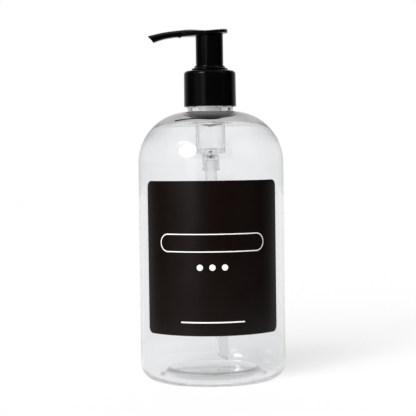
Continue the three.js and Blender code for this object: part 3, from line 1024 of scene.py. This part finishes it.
@dataclass
class Pump:
    """The pump's fixed pieces: closure, collar, gasket, housing, dip tube and inlet ball. Millimetres."""

    closure_bore: float = 12.3
    closure_top: float = 1.2
    closure_corner: float = 1.8
    closure_draft: float = 0.12
    bulge: float = 0.22
    thread_lift: float = 2.6
    thread_turns: float = 2.2
    hole_gap: float = 0.25
    collar_radius: float = 8.15
    collar_bore: float = 7.3
    collar_floor: float = 1.2
    flange_lip: float = 0.7
    flare_height: float = 1.3
    flare_edge: float = 0.1
    flare_wall: float = 0.5
    stem_hole: float = 3.0
    cup_radius: float = 9.0
    cup_bore: float = 8.4
    cup_flange: float = 1.3
    step: float = 1.2
    chamber: float = 6.35
    chamber_wall: float = 1.2
    cage_height: float = 4.7
    cage_wall: float = 1.9
    cage_bore: float = 2.7
    port: float = 1.6
    tube_radius: float = 3.2
    tube_bore: float = 2.3
    tube_gap: float = 0.25
    tube_stop: float = 0.15
    tube_bends: tuple[float, float] = (22.0, 34.0)
    tube_turn: float = 1.6
    tube_slant: float = 0.55
    tail_wall: float = 0.95
    black: Moulded = Moulded("black_moulded", (0.0006, 0.0006, 0.0007), 0.11, gloss_spread=0.04,
                             specular=0.12)
    natural: Clear = Clear("natural_moulded", (0.985, 0.99, 0.985), 0.2, 1.25, 0.02 * MM, (1, 1, 1),
                           0.75, 0.99)
    tubing: Clear = Clear("natural_drawn", (0.93, 0.935, 0.93), 0.16, 1.12, 0.02 * MM, (1, 1, 0.1),
                          0.85, 0.98)

    def closure(self, black: bpy.types.Material) -> bpy.types.Object:
        """Builds the smooth cap, threaded inside.

        Args:
            black: the black plastic.

        Returns:
            The piece.
        """
        radius, bottom, top = span("closure")
        radius += self.bulge
        rim = radius - self.closure_draft
        hole = self.collar_radius + self.hole_gap
        ceiling = top - self.closure_top
        outline = rounded([
            (self.closure_bore + 0.2, bottom, 0.15), (radius, bottom, 0.35),
            (rim, top - 0.15, self.closure_corner), (hole + 1.2, top, 1.0), (hole, top, 0.2),
            (hole, ceiling, 0.1), (self.closure_bore, ceiling, 0.4), (self.closure_bore, bottom + 0.5, 0.3),
        ], True, 10)
        outline = finer(np.concatenate((outline, outline[:1])), 0.5)[:-1]
        thread = Thread(start=bottom + self.thread_lift, turns=self.thread_turns, height=0.95, width=1.7)

        def relief(angle: np.ndarray, r: np.ndarray, height: np.ndarray) -> np.ndarray:
            """Adds the thread, inwards, to the bore's wall alone."""
            on_bore = (np.abs(r - self.closure_bore) < 0.02) & (height < ceiling - 1)
            return -thread.relief(angle, height) * on_bore

        piece = revolve("closure_cap", outline, 160, True, relief)
        return dress(piece, black, Body.CLOSURE, Slot.BLACK, "closure")

    def collar(self, black: bpy.types.Material) -> bpy.types.Object:
        """Builds the locking collar: spring well, thin flange and concave flare round the sleeve.

        Args:
            black: the black plastic.

        Returns:
            The piece.
        """
        radius, bottom, top = span("collar")
        flange_top = top - self.flare_height
        flange_bottom = flange_top - self.flange_lip
        edge = radius - self.flare_edge
        width = edge - self.collar_bore - self.flare_wall
        flare = oval((edge, top), (width, self.flare_height), np.linspace(270, 180, 13))
        hole, middle, floor = self.stem_hole, bottom + 0.6, bottom + self.collar_floor
        low = rounded([
            (hole, middle, 0), (hole, bottom, 0.15), (self.collar_radius, bottom, 0.5),
            (self.collar_radius, flange_bottom, 0.15), (radius, flange_bottom, 0.2),
            (radius, flange_top, 0.25), (*flare[2], 0),
        ])
        high = rounded([
            (flare[-1, 0], flare[-1, 1] - 0.2, 0), (flare[-1, 0], top, 0.15), (self.collar_bore, top, 0.15),
            (self.collar_bore, floor, 0.4), (hole, floor, 0.1), (hole, middle, 0),
        ])
        piece = revolve("collar_flared", np.concatenate((low, flare[3:-2], high[:-1])), 128)
        return dress(piece, black, Body.PUMP, Slot.BLACK, "collar")

    def gasket(self) -> bpy.types.Object:
        """Builds the flat sealing ring.

        Returns:
            The piece.
        """
        radius, bottom, top = span("gasket")
        hole = self.cup_radius + self.hole_gap
        corners = [(hole, bottom, 0.15), (radius, bottom, 0.15), (radius, top, 0.15), (hole, top, 0.15)]
        piece = revolve("gasket_ring", rounded(corners, True, 3), 96)
        foam = Moulded("gasket_foam", (0.8, 0.8, 0.78), 0.7, 0.05 * MM)
        return dress(piece, foam.build(), Body.GASKET, Slot.GASKET, "gasket")

    def housing(self) -> bpy.types.Object:
        """Builds the cylinder: flanged cup, chamber, ball cage and tail.

        Returns:
            The piece.
        """
        flange, bottom, top = span("housing")
        outer = self.chamber + self.chamber_wall
        cup_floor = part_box("collar")[0].z / MM - 0.3
        ledge = cup_floor - self.step
        under_flange = top - self.cup_flange
        tube_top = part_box("dip_tube")[1].z / MM
        stop = tube_top + self.tube_stop
        bore = self.tube_radius + self.tube_gap
        tail = bore + self.tail_wall
        seat = tube_top + 1.0
        floor = seat + self.cage_height
        foot = floor - self.cage_wall
        outline = rounded([
            (bore, bottom, 0.3), (tail, bottom, 0.4), (tail, foot - 1, 1.6), (outer, foot, 1.0),
            (outer, ledge, 0.5), (self.cup_radius, ledge + 0.7, 0.4), (self.cup_radius, under_flange, 0.2),
            (flange, under_flange, 0.2), (flange, top, 0.2), (self.cup_bore, top, 0.2),
            (self.cup_bore, cup_floor, 0.2), (self.chamber, cup_floor, 0.3), (self.chamber, floor, 0.6),
            (3.4, floor, 0.2), (3.0, floor + 0.6, 0.15), (1.95, floor + 0.6, 0.15),
            (self.cage_bore, floor, 0.2), (self.cage_bore, seat + 1.0, 0.2), (self.port, seat, 0.1),
            (self.port, stop, 0.1), (bore, stop, 0.2),
        ], True, 5)
        piece = revolve("housing_cylinder", outline, 128)
        return dress(piece, self.natural.build(), Body.PUMP, Slot.NATURAL, "housing")

    def tube_line(self, top: float, leaving: float, end: float, lean: float) -> np.ndarray:
        """Middle line of the dip tube: straight down, then a cubic curve through four handles.

        Args:
            top: its upper end.
            leaving: height under which it bends.
            end: its lower end.
            lean: how far that end stands to the right.

        Returns:
            One (x, z) point a row.
        """
        t = np.linspace(0, 1, 90)[:, None]
        handles = np.array([(0, leaving), (0, leaving - self.tube_bends[0]),
                            (lean - self.tube_turn, end + self.tube_bends[1]), (lean, end)])
        curve = ((1 - t) ** 3 * handles[0] + 3 * t * (1 - t) ** 2 * handles[1]
                 + 3 * t * t * (1 - t) * handles[2] + t ** 3 * handles[3])
        straight = np.stack((np.zeros(12), np.linspace(top, leaving, 13)[:-1]), 1)
        return np.concatenate((straight, curve))

    def dip_tube(self) -> bpy.types.Object:
        """Builds the tube: circles carried along its line, its foot cut on the slant.

        Returns:
            The piece.
        """
        low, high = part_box("dip_tube")
        leaving = span("housing")[1] - 2
        path = self.tube_line(high.z / MM, leaving, low.z / MM + 0.15, high.x / MM - self.tube_radius)
        tangent = directions(path)
        angle = np.linspace(0, 2 * np.pi, 40, endpoint=False)[None]
        cut = smooth((np.arange(len(path)) - len(path) + 8) / 7.0)[:, None]

        def wall(r: float) -> np.ndarray:
            """Circles of one radius, square to the line but for the slanting foot.

            Args:
                r: the circles' radius.

            Returns:
                Points by circle, then round it.
            """
            side = r * np.cos(angle)
            slant = self.tube_slant * r * (np.cos(angle) - 1) * cut
            x = path[:, :1] - tangent[:, 1:] * side + tangent[:, :1] * slant
            z = path[:, 1:] + tangent[:, :1] * side + tangent[:, 1:] * slant
            return np.stack((x, r * np.sin(angle) + 0 * x, z), -1)

        rows = np.concatenate((wall(self.tube_radius), wall(self.tube_bore)[::-1]))
        faces = grid_faces(len(rows), rows.shape[1], rows_wrap=True)
        piece = make_piece("dip_tube_drawn", rows.reshape(-1, 3) * MM, [faces])
        return dress(piece, self.tubing.build(), Body.PUMP, Slot.TUBE, "dip_tube")

    def ball(self, steel: bpy.types.Material) -> bpy.types.Object:
        """Builds the inlet ball.

        Args:
            steel: the bright steel.

        Returns:
            The piece.
        """
        radius, low, high = span("inlet_ball")
        outline = arc((0, (low + high) / 2), radius, -90, 90, 32)
        return dress(revolve("inlet_ball_round", outline, 48, False), steel, Body.PUMP, Slot.STEEL,
                     "inlet_ball")


@dataclass
class Head:
    """The actuator: thumb pad, nozzle and outer sleeve in one moulding. Sizes in millimetres.

    Ridge and keel give the top and the underside over the pad's seat, by X.
    """

    sleeve_radius: float = 7.05
    sleeve_bore: float = 6.1
    roof: float = 1.2
    socket_radius: float = 3.95
    socket_bore: float = 3.0
    socket_length: float = 9.0
    duct: float = 0.8
    overlap: float = 1.5
    head_rise: float = 15.3
    pad_radius: float = 9.4
    pad_crown: float = 0.9
    pad_power: float = 2.2
    nozzle_half: float = 3.1
    nozzle_bevel: float = 1.3
    nozzle_power: float = 1.5
    nozzle_blend: float = 15.0
    under_corner: float = 0.9
    tip_half: float = 2.7
    tip_rise: float = 1.75
    tip_slant: float = 2.8
    mouth_wall: float = 0.75
    mouth_depth: tuple[float, float, float] = (9.0, 0.0, 1.6)
    nub: float = 0.45
    nub_place: float = -15.2
    nub_width: float = 0.7
    ridge: Knots = ((-31.4, 0.5), (-23.2, 2.27), (-13.9, 3.32), (-8.8, 3.6), (-1.6, 3.02), (4.6, 3.48),
                    (8.0, 3.72), (9.4, 3.45))
    keel: Knots = ((-31.4, -3.1), (-21.2, -0.95), (-11.9, -0.1), (-7.05, 0.05), (9.4, 1.5))
    pad_seat: float = field(init=False)

    def __post_init__(self) -> None:
        """Places the pad's seat over the collar's top."""
        self.pad_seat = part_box("collar")[1].z / MM + self.head_rise

    def sections(self, x: np.ndarray, steps: int = 24) -> np.ndarray:
        """Loops of the head across X: crowned top, upright sides and a rounded underside.

        The half width is the pad's circle behind the axis and narrows to the nozzle in front of it.
        The top falls from its ridge by a power of the share of the half width.

        Args:
            x: where the sections stand.
            steps: points across the top, less one.

        Returns:
            Points by section, then round it, anticlockwise seen from +X.
        """
        seat = self.pad_seat
        ahead = smooth(-x / self.nozzle_blend)
        taper = np.clip((-x - self.nozzle_blend) / (-self.ridge[0][0] - self.nozzle_blend), 0, 1)
        nozzle = self.nozzle_half + (self.tip_half - self.nozzle_half) * taper
        pad = np.sqrt(np.maximum(self.pad_radius ** 2 - np.maximum(x, 0) ** 2, 1e-4))
        half = pad + (nozzle - pad) * ahead
        nub = self.nub * np.exp(-((x - self.nub_place) / self.nub_width) ** 2)
        top = seat + hermite(x, self.ridge)
        bottom = seat + hermite(x, self.keel) - nub
        drop = self.pad_crown + (self.nozzle_bevel - self.pad_crown) * ahead
        drop = drop * np.minimum(1, half / self.tip_half)
        power = self.pad_power + (self.nozzle_power - self.pad_power) * ahead
        corner = np.minimum(self.under_corner, half / 3)[:, None]
        across = np.linspace(1, -1, steps + 1)[None]
        y = across * half[:, None]
        z = (top - drop)[:, None] + drop[:, None] * (1 - np.abs(across) ** power[:, None])
        turn = np.radians(np.linspace(0, 90, 7))[None]
        left_y = -half[:, None] + corner * (1 - np.cos(turn))
        left_z = bottom[:, None] + corner * (1 - np.sin(turn))
        y = np.concatenate((y, left_y, -left_y[:, ::-1]), 1)
        z = np.concatenate((z, left_z, left_z[:, ::-1]), 1)
        lean = self.tip_slant * (taper ** 3)[:, None] * (top[:, None] - z) / (top - bottom)[:, None]
        return np.stack((x[:, None] + lean, y, z), -1)

    def head_shell(self) -> bpy.types.Object:
        """Builds pad and nozzle as one closed skin, with the nozzle's mouth let in at the tip.

        Returns:
            The piece.
        """
        ahead = np.linspace(self.ridge[0][0], 0, 90)
        loops = self.sections(np.concatenate((ahead, self.pad_radius * np.sin(np.linspace(0.03, 1.5, 40)))))
        tip = loops[0]
        centre = tip.mean(0)
        shrink = np.array([0, -self.mouth_wall / self.tip_half, -self.mouth_wall / self.tip_rise])
        rim = centre + (tip - centre) * (1 + shrink)
        soft = centre + (tip - centre) * (1 + 0.7 * shrink)
        depth = np.array(self.mouth_depth)
        mouth = np.stack((rim + depth, rim + 0.1 * depth, rim, soft))
        rows = np.concatenate((mouth, loops))
        vertices = np.concatenate((rows.reshape(-1, 3), rows[:1].mean(1), rows[-1:].mean(1)))
        size = rows.shape[:2]
        return make_piece("head_skin", vertices * MM, [grid_faces(*size), *pole_faces(*size)], 40)

    def sleeve(self) -> bpy.types.Object:
        """Builds sleeve, roof and stem socket, reaching up into the head.

        Returns:
            The piece.
        """
        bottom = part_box("actuator")[0].z / MM
        roof = self.pad_seat - self.roof
        inside = self.pad_seat + self.overlap
        socket_end = roof - self.socket_length
        outline = rounded([
            (self.sleeve_bore, bottom, 0.2), (self.sleeve_radius, bottom, 0.3),
            (self.sleeve_radius, inside, 0), (self.duct, inside, 0), (self.duct, roof, 0),
            (self.socket_bore, roof, 0), (self.socket_bore, socket_end, 0.25),
            (self.socket_radius, socket_end, 0.2), (self.socket_radius, roof, 0.4),
            (self.sleeve_bore, roof, 0.4),
        ], True)
        return revolve("sleeve_skin", outline, 128)

    def actuator(self, black: bpy.types.Material) -> bpy.types.Object:
        """Joins head and sleeve into the one moulding that they are."""
        piece = combine("actuator_moulding", self.head_shell(), self.sleeve(), "UNION")
        return dress(piece, black, Body.HEAD, Slot.BLACK, "actuator")


@dataclass
class Works:
    """What the head drives in the housing: stem, valve disc, piston and spring. Sizes in millimetres."""

    stem_radius: float = 2.75
    stem_bore: float = 1.75
    stem_flange: float = 4.2
    port: tuple[float, float] = (1.4, 1.6)
    plug_radius: float = 3.7
    plug_thickness: float = 1.0
    rib: float = 0.8
    rib_span: float = 2.9
    spigot: float = 4.3
    pin_radius: float = 1.5
    sleeve_wall: float = 0.9
    waist: float = 4.9
    lip_wall: float = 0.65
    lip_reach: float = 2.2
    slide_gap: float = 0.25
    wire: float = 0.45
    turns: float = 10.0
    stroke: float = 12.5
    spring_seat: float = 1.2

    def stem(self) -> bpy.types.Object:
        """Builds the hollow stem with its stop flange and two ports.

        Returns:
            The piece.
        """
        _, bottom, top = span("stem")
        flange_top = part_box("collar")[0].z / MM - 0.3
        flange_bottom = flange_top - 1
        outline = rounded([
            (self.stem_bore, bottom, 0.1), (self.stem_radius, bottom, 0.25),
            (self.stem_radius, flange_bottom, 0.2), (self.stem_flange, flange_bottom, 0.15),
            (self.stem_flange, flange_top, 0.15), (self.stem_radius, flange_top, 0.2),
            (self.stem_radius, top, 0.35), (self.stem_bore, top, 0.1),
        ], True)
        tube = revolve("stem_tube", outline, 64)
        window = box("stem_window", (self.port[0], 4 * self.stem_radius, self.port[1]),
                     (0, 0, bottom + 0.8 + self.port[1] / 2))
        piece = combine("stem_hollow", tube, window, "DIFFERENCE")
        moulded = Milky("stem_plastic", (0.93, 0.93, 0.9))
        return dress(piece, moulded.build(), Body.HEAD, Slot.STEM, "stem")

    def stem_plug(self) -> bpy.types.Object:
        """Builds the valve disc: a pointed pin under it and a cross-ribbed spigot over it.

        Returns:
            The piece.
        """
        _, tip, top = span("stem_plug")
        disc_top = top - self.spigot
        disc_bottom = disc_top - self.plug_thickness
        outline = rounded([
            (0, tip, 0), (self.pin_radius - 0.7, tip, 0.15), (self.pin_radius, tip + 0.7, 0.3),
            (self.pin_radius, disc_bottom, 0.2), (self.plug_radius - 0.2, disc_bottom, 0.4),
            (self.plug_radius, disc_top, 0.25), (0, disc_top, 0),
        ])
        piece = revolve("plug_disc", outline, 48, False)
        height = self.spigot + self.plug_thickness / 2
        for width, depth in ((self.rib_span, self.rib), (self.rib, self.rib_span)):
            rib = box("plug_rib", (width, depth, height), (0, 0, top - height / 2))
            piece = combine("stem_plug_valve", piece, rib, "UNION")
        grey = Moulded("plug_plastic", (0.26, 0.265, 0.265), 0.4, 0.02 * MM)
        return dress(piece, grey.build(), Body.HEAD, Slot.STEM, "stem_plug")

    def piston(self) -> bpy.types.Object:
        """Builds the piston: two lips that face away from each other round a sliding sleeve.

        Returns:
            The piece.
        """
        radius, bottom, top = span("piston")
        bore = self.stem_radius + self.slide_gap
        sleeve = bore + self.sleeve_wall
        inner = radius - self.lip_wall
        middle = (bottom + top) / 2 - 0.6
        upper = middle + self.lip_reach + 1.2
        outline = rounded([
            (bore, bottom, 0.1), (sleeve, bottom, 0.15), (sleeve, bottom + 1.6, 0.3),
            (inner, bottom, 0.1), (radius, bottom, 0.1), (radius, bottom + 0.8, 0.5),
            (self.waist, bottom + self.lip_reach + 0.6, 0.6), (self.waist, middle + 0.4, 0.6),
            (radius, upper - 0.8, 0.5), (radius, upper, 0.1), (inner, upper, 0.1),
            (sleeve, upper - 1.6, 0.3), (sleeve, top, 0.15), (bore, top, 0.1),
        ], True, 4)
        soft = Milky("piston_plastic", (0.94, 0.94, 0.92), 0.45)
        return dress(revolve("piston_lips", outline, 96), soft.build(), Body.PISTON, Slot.PISTON, "piston")

    def spring(self, steel: bpy.types.Material) -> bpy.types.Object:
        """Builds the spring: a circle carried along a coil whose end turns lie nearly flat.

        Args:
            steel: the bright steel.

        Returns:
            The piece.
        """
        low_corner, high_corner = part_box("spring")
        radius = high_corner.x / MM - self.wire
        low, high = low_corner.z / MM + self.wire, high_corner.z / MM - self.wire
        t = np.linspace(0, 1, int(self.turns * 48) + 1)[:, None]
        ends = 1 / self.turns
        closed = 2 * self.wire + 0.1
        body = np.clip((t - ends) / (1 - 2 * ends), 0, 1)
        first = closed * np.minimum(t / ends, 1)
        last = closed * np.maximum((t - 1 + ends) / ends, 0)
        angle = 2 * np.pi * self.turns * t
        height = low + first + last + (high - low - 2 * closed) * body
        outward = np.concatenate((np.cos(angle), np.sin(angle), 0 * angle), 1)
        centre = radius * outward + height * (0, 0, 1)
        side = np.cross(directions(centre), outward)
        turn = np.linspace(0, 2 * np.pi, 14, endpoint=False)[None, :, None]
        ring = np.cos(turn) * outward[:, None] + np.sin(turn) * side[:, None]
        rows = centre[:, None] + self.wire * ring
        count = rows.shape[1]
        cap = np.arange(count)[None]
        faces = [grid_faces(len(rows), count)[:, ::-1], cap, ((len(rows) - 1) * count + cap)[:, ::-1]]
        piece = make_piece("spring_coil", rows.reshape(-1, 3) * MM, faces)
        dress(piece, steel, Body.SPRING, Slot.STEEL, "spring")
        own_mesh(piece)
        return piece


class SoftBox(NamedTuple):
    """A round soft light: its direction, the angles where it is full and where it ends, its strength."""

    azimuth: float
    elevation: float
    inner: float
    outer: float
    strength: float


@dataclass
class Studio:
    """Camera, floor, backdrop light and lamps. The camera's place was fitted to the photograph.

    Metres and degrees. Each ramp runs from where it is 0 to where it is 1: the floor's by distance from
    the middle, but mirrored_behind by direction, and the world's by how far a ray points back or up.
    """

    distance: float = 0.674
    height: float = 0.1142
    aside: float = -0.00178
    pitch: float = 2.24
    roll: float = -0.75
    focal_pixels: float = 1306.5
    image_pixels: float = 416.0
    sensor: float = 36.0
    room: float = 0.008
    floor_half: float = 3.0
    floor_share: float = 0.27
    floor_glow: float = 0.618
    floor_dimmed: float = 0.08
    # Painted shadow on the floor under the foot, seen through the glass: its depth, and the radii where it
    # starts and where it is full.
    painted_shadow_depth: float = 0.2
    painted_shadow_radii: Ramp = (0.025, 0.018)
    plain_share: float = 0.8
    mirrored_share: float = 0.03
    mirrored_behind: Ramp = (0.0, 0.75)
    mirrored_near: Ramp = (0.25, 0.12)
    screen: float = 0.8
    screen_side: Ramp = (0.3, 0.95)
    screen_middle: Ramp = (0.955, 0.985)
    screen_top: Ramp = (0.78, 0.5)
    haze: float = 0.75
    ceiling: float = 0.52
    ceiling_edge: Ramp = (0.64, 0.86)
    boxes: tuple[SoftBox, ...] = (
        SoftBox(-39, 26, 2, 16, 15.0),
        SoftBox(-30, 5, 7, 12, 0.95),
        SoftBox(-54, 24, 8, 32, 0.6),
        SoftBox(60, 27, 6, 26, 0.6),
    )
    lamp_way: tuple[float, float] = (-22.0, 22.0)
    lamp_angle: float = 34.0
    lamp_power: float = 6.6

    def camera(self) -> None:
        """Places the camera at the photograph's angle."""
        data = bpy.data.cameras.new("camera")
        data.sensor_width = self.sensor
        data.lens = self.sensor * self.focal_pixels / self.image_pixels
        camera = show("camera", data)
        tilt = Matrix.Rotation(math.radians(90 - self.pitch), 4, "X")
        camera.matrix_world = (Matrix.Translation((self.aside, -self.distance, self.height)) @ tilt
                               @ Matrix.Rotation(math.radians(self.roll), 4, "Z"))
        bpy.context.scene.camera = camera

    def floor(self) -> None:
        """Lays a pale floor that shows white but keeps the shadow and is dark in mirrors in front; painted
        shadow under the foot.
        """
        corners = self.floor_half * np.array([(-1, -1, 0), (1, -1, 0), (1, 1, 0), (-1, 1, 0)])
        piece = make_piece("floor", corners - (0, 0, 0.2 * MM), [np.array([[0, 1, 2, 3]])])
        material, shader = new_material("floor")
        seen, mirrored, through = (shader.node("ShaderNodeLightPath", out=f"Is {kind} Ray")
                                   for kind in ("Camera", "Glossy", "Transmission"))
        place = shader.position()
        far = shader.node("ShaderNodeVectorMath", {"operation": "LENGTH"}, {0: place}, "Value")
        way = shader.node("ShaderNodeVectorMath", {"operation": "NORMALIZE"}, {0: place})
        behind = way.along((0, 1, 0)).ramp(*self.mirrored_behind, False)
        behind = behind.at_least(far.ramp(*self.mirrored_near))
        bright = seen.at_least(through).at_least(mirrored * behind)
        share = shader.mix_colour(mirrored, (self.plain_share,) * 3, (self.mirrored_share,) * 3)
        plain = shader.node("ShaderNodeBsdfDiffuse", None, {"Color": share})
        dim = shader.node("ShaderNodeBsdfDiffuse", None, {"Color": (self.floor_share,) * 3 + (1,)})
        # Through the glass the floor is dimmer by floor_dimmed all over, and under the foot a painted shadow
        # darkens it further.
        dimmed = far.ramp(*self.painted_shadow_radii) * self.painted_shadow_depth + self.floor_dimmed
        strength = self.floor_glow - through * dimmed
        glow = shader.node("ShaderNodeEmission", None, {"Color": (1, 1, 1, 1), "Strength": strength})
        shown = shader.node("ShaderNodeAddShader", None, {0: dim, 1: glow})
        shader.surface(shader.node("ShaderNodeMixShader", None, {0: bright, 1: plain, 2: shown}))
        material.cycles.emission_sampling = "NONE"
        piece.data.materials.append(material)

    def way(self, azimuth: float, elevation: float) -> Vector:
        """Direction of an azimuth, to the right from the camera's side, and an elevation, in degrees."""
        a, e = math.radians(azimuth), math.radians(elevation)
        return Vector((math.sin(a) * math.cos(e), -math.cos(a) * math.cos(e), math.sin(e)))

    def screen_light(self, way: Socket) -> Socket:
        """Light of the white screen by direction: an even rise toward the back, full straight behind.

        Args:
            way: the direction.

        Returns:
            The light from there.
        """
        back = way.along((0, 1, 0))
        rest = back.ramp(*self.screen_middle) * (1 - self.screen)
        return back.ramp(*self.screen_side, False) * self.screen + rest

    def lamp(self) -> None:
        """Hangs the soft lamp that throws the floor's shadow; mirrors don't show it."""
        data = bpy.data.lights.new("soft_lamp", "SUN")
        data.angle, data.energy = math.radians(self.lamp_angle), self.lamp_power
        lamp = show("soft_lamp", data)
        lamp.matrix_world = self.way(*self.lamp_way).to_track_quat("Z", "Y").to_matrix().to_4x4()
        lamp.visible_camera = lamp.visible_glossy = lamp.visible_transmission = False

    def world(self) -> None:
        """Surrounds the scene with a studio: white behind, a pale ceiling, dark in front, and soft boxes."""
        world = bpy.data.worlds.new("studio")
        world.use_nodes = True
        bpy.context.scene.world = world
        shader = Shader(world.node_tree)
        way = shader.node("ShaderNodeTexCoord", out="Generated")
        up = way.along((0, 0, 1))
        room = self.screen_light(way) * up.ramp(*self.screen_top)
        room = room + up.ramp(*self.ceiling_edge) * self.ceiling + self.room
        for soft in self.boxes:
            near = way.along(self.way(soft.azimuth, soft.elevation))
            edge, full = math.cos(math.radians(soft.outer)), math.cos(math.radians(soft.inner))
            room = room + near.ramp(edge, full) * soft.strength
        through = shader.node("ShaderNodeLightPath", out="Is Transmission Ray") * self.haze
        room = room.at_least(through)
        studio = shader.node("ShaderNodeBackground", None, {"Color": (1, 1, 1, 1), "Strength": room})
        backdrop = shader.node("ShaderNodeBackground", None, {"Color": (1, 1, 1, 1), "Strength": 1.0})
        camera = shader.node("ShaderNodeLightPath", out="Is Camera Ray")
        shader.surface(shader.node("ShaderNodeMixShader", None, {0: camera, 1: studio, 2: backdrop}))


def main() -> None:
    """Builds the dispenser and its studio."""
    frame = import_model()
    LOG.info("frame has %d nodes", len(frame["nodes"]))
    scene = bpy.context.scene
    scene.view_settings.view_transform = "Standard"
    studio = Studio()
    studio.camera()
    studio.floor()
    studio.lamp()
    studio.world()
    container = Container()
    container.bottle()
    container.label()
    pump = Pump()
    black = pump.black.build()
    steel = Steel("steel_bright").build()
    pump.closure(black)
    pump.collar(black)
    pump.gasket()
    pump.housing()
    pump.dip_tube()
    pump.ball(steel)
    head = Head()
    head.actuator(black)
    works = Works()
    works.stem()
    works.stem_plug()
    works.piston()
    works.spring(steel)


if __name__ == "__main__":
    logging.basicConfig(level=logging.INFO)
    main()
